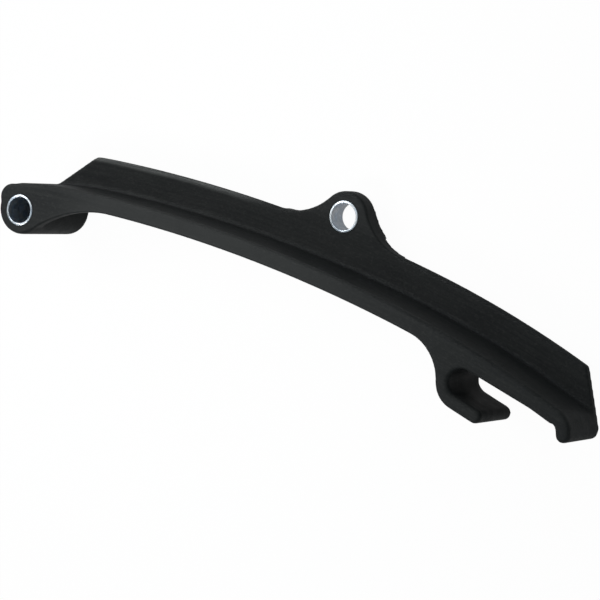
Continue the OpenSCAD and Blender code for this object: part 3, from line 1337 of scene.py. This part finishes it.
    def hook_curve(self) -> Workpiece:
        """Models the hollow curve from the plate into the hook.

        Returns:
            The curve's slab.
        """
        s, pole, radius, slot = self.size, self.curve.end_pole, self.curve.end.radius, self.slot_middle
        outer, wall = s.slot_r + s.hook_wall, s.slot_r + s.hook_wall / 2
        reach, rise = outer + s.hook_fillet_r - s.bite, radius - s.plate_t - s.hook_fillet_r + s.bite
        middle = meet(slot, reach, pole, rise, Side.RIGHT)
        foot = (middle - pole).normalized()
        up = self.in_hook(0.0, 1.0) - slot
        corners = arc_between(middle, s.hook_fillet_r, foot, slot - middle, self.hollow_steps)
        corners += arc_between(slot, wall, middle - slot, up, self.wall_steps)
        corners += [pole + foot * (radius - s.plate_t / 2)]
        return self.rounded_slab("hook_curve", corners, middle, s.hook_fillet_r, s.back)

    def sleeve_hole(self, middle: Vector) -> Workpiece:
        """Makes the cutter for a sleeve's hole."""
        top = self.size.front + OVERCUT
        return Workpiece.drum("sleeve_hole", middle, self.size.sleeve_hole_r, -OVERCUT, top)


@dataclass
class BoltSleeve:
    """One zinc-plated steel sleeve: a plain tube with softened rims."""

    name: str
    node: str
    middle: Vector
    low: float
    high: float
    bore_r: float = 4.25
    outer_r: float = 5.0
    rim_edge: float = 0.15
    rim_steps: int = 3
    crease: float = 35.0
    finish: ZincPlate = ZincPlate()

    def build(self) -> Workpiece:
        """Turns a drum into a tube and rounds its four rims.

        Returns:
            The finished sleeve.
        """
        tube = Workpiece.drum(self.name, self.middle, self.outer_r, self.low, self.high)
        low, high = self.low - OVERCUT, self.high + OVERCUT
        tube.join(Workpiece.drum("bore", self.middle, self.bore_r, low, high), Join.CUT)
        for level in (self.low, self.high):
            tube.round_edges(lambda p, level=level: abs(p.z - level) < NEAR, self.rim_edge, self.rim_steps)
        tube.closed().choose()
        bpy.ops.object.shade_smooth_by_angle(angle=math.radians(self.crease))
        return tube.rename(self.name)

    def dress(self, piece: Workpiece) -> None:
        """Gives the sleeve its finish."""
        piece.wear(self.finish.material(), self.node)


@dataclass(frozen=True)
class SoftLamp:
    """One square studio lamp."""

    name: str
    place: Place
    width: float
    watts: float
    aim: Place = (0.09, -0.02, 0.012)
    spread: float = HALF_TURN


@dataclass
class Studio:
    """Pale floor, soft lamps and the camera of the photograph, in metres.

    Attributes:
        floor_white: Share of the floor's glow that the camera sees.
        floor_mirrored: Share of it that shows in reflections.
        floor_grey: Grey of the floor itself, which lights the part and holds its shadow.
        covered_floor: Radius of the floor that the end boss stands on, which stays dark in its bore.
    """

    lamps: tuple[SoftLamp, ...] = (
        SoftLamp("front_lamp", (-0.30, -0.36, 0.62), 0.2, 0.055, (0.040, -0.01, 0.02), 24.0),
        SoftLamp("left_lamp", (-0.38, 0.28, 0.66), 0.4, 0.18, (0.02, 0.0, 0.02), 46.0),
        SoftLamp("rim_lamp", (-0.28, 0.50, 0.16), 0.25, 0.8),
    )
    world_level: float = 0.28
    world_tint: Colour = (0.88, 0.97, 1.0)
    floor_width: float = 6.0
    floor_white: float = 0.88
    floor_mirrored: float = 0.2
    floor_grey: float = 0.35
    floor_glow: float = 1.1
    covered_floor: float = 0.008
    camera_place: Vector = field(default_factory=lambda: Vector((0.5033, 0.0018, 0.7479)))
    camera_forward: Vector = field(default_factory=lambda: Vector((-0.4848, -0.0333, -0.8740)))
    camera_up: Vector = field(default_factory=lambda: Vector((-0.0337, 0.9990, -0.0194)))
    camera_clip: Limits = (0.01, 20.0)
    focal_px: float = 2700.0
    image_px: float = 600.0
    sensor: float = 36.0

    def build(self) -> None:
        """Sets up the floor, the lamps, the world and the camera."""
        bpy.context.scene.view_settings.view_transform = "Standard"
        self.lay_floor()
        for lamp in self.lamps:
            self.hang(lamp)
        self.light_world()
        self.place_camera()

    def lay_floor(self) -> None:
        """Lays a pale floor that looks white to the camera and keeps a soft shadow."""
        Workpiece.clear_bench()
        bpy.ops.mesh.primitive_plane_add(size=self.floor_width)
        floor = bpy.context.object
        floor.name = "floor"
        floor.data.materials.append(self.pale_paper())

    def pale_paper(self) -> bpy.types.Material:
        """Makes the floor's material: matt grey, lifted to white where the camera looks at it.

        Returns:
            The material.
        """
        bench = NodeBench("pale_paper")
        nodes = bench.tree.nodes
        matt = nodes.new("ShaderNodeBsdfDiffuse")
        matt.inputs["Color"].default_value = (self.floor_grey, self.floor_grey, self.floor_grey, 1.0)
        glow = nodes.new("ShaderNodeEmission")
        glow.inputs["Strength"].default_value = self.floor_glow
        reach = nodes.new("ShaderNodeVectorMath")
        reach.operation = "LENGTH"
        bench.link(bench.coordinates, reach.inputs[0])
        clear = bench.math("GREATER_THAN", reach.outputs["Value"], self.covered_floor)
        ray = nodes.new("ShaderNodeLightPath").outputs
        bounced = bench.math("MAXIMUM", ray["Is Glossy Ray"], ray["Is Transmission Ray"])
        mirrored = bench.product(bounced, self.floor_mirrored, clear)
        seen = bench.product(ray["Is Camera Ray"], self.floor_white)
        blend = nodes.new("ShaderNodeMixShader")
        bench.link(bench.math("ADD", seen, mirrored), blend.inputs["Fac"])
        bench.link(matt.outputs["BSDF"], blend.inputs[1])
        bench.link(glow.outputs["Emission"], blend.inputs[2])
        bench.link(blend.outputs["Shader"], nodes["Material Output"].inputs["Surface"])
        nodes.remove(bench.shader)
        return bench.material

    def hang(self, lamp: SoftLamp) -> None:
        """Hangs one lamp and aims it.

        Args:
            lamp: The lamp.
        """
        data = bpy.data.lights.new(lamp.name, "AREA")
        data.energy = lamp.watts
        data.size = lamp.width
        data.spread = math.radians(lamp.spread)
        obj = bpy.data.objects.new(lamp.name, data)
        obj.location = lamp.place
        obj.rotation_euler = (Vector(lamp.aim) - obj.location).to_track_quat("-Z", "Y").to_euler()
        bpy.context.scene.collection.objects.link(obj)

    def light_world(self) -> None:
        """Sets an even, plain surround."""
        world = bpy.data.worlds.new("surround")
        world.use_nodes = True
        background = world.node_tree.nodes["Background"]
        background.inputs["Color"].default_value = (*self.world_tint, 1.0)
        background.inputs["Strength"].default_value = self.world_level
        bpy.context.scene.world = world

    def place_camera(self) -> None:
        """Stands the camera where the photograph was taken from."""
        data = bpy.data.cameras.new("camera")
        data.sensor_width = self.sensor
        data.lens = self.focal_px * self.sensor / self.image_px
        data.clip_start, data.clip_end = self.camera_clip
        camera = bpy.data.objects.new("camera", data)
        back = -self.camera_forward.normalized()
        right = self.camera_up.cross(back).normalized()
        up = back.cross(right)
        turn = Matrix((right, up, back)).transposed().to_4x4()
        camera.matrix_world = Matrix.Translation(self.camera_place) @ turn
        bpy.context.scene.collection.objects.link(camera)
        bpy.context.scene.camera = camera


def main() -> None:
    """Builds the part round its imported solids, then the studio."""
    logging.basicConfig(level=logging.INFO, format="%(name)s: %(message)s")
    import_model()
    rail = GuideRail()
    size = rail.size
    end_top, mid_top = size.front + size.proud, size.web + size.proud
    pieces = (
        rail,
        BoltSleeve("end_bolt_sleeve", "end_sleeve", rail.end_bolt, 0.0, end_top),
        BoltSleeve("mid_bolt_sleeve", "mid_sleeve", rail.ear_middle, size.ear_seat, mid_top),
    )
    for piece in pieces:
        piece.dress(piece.build())
    Studio().build()
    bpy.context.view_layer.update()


if __name__ == "__main__":
    main()
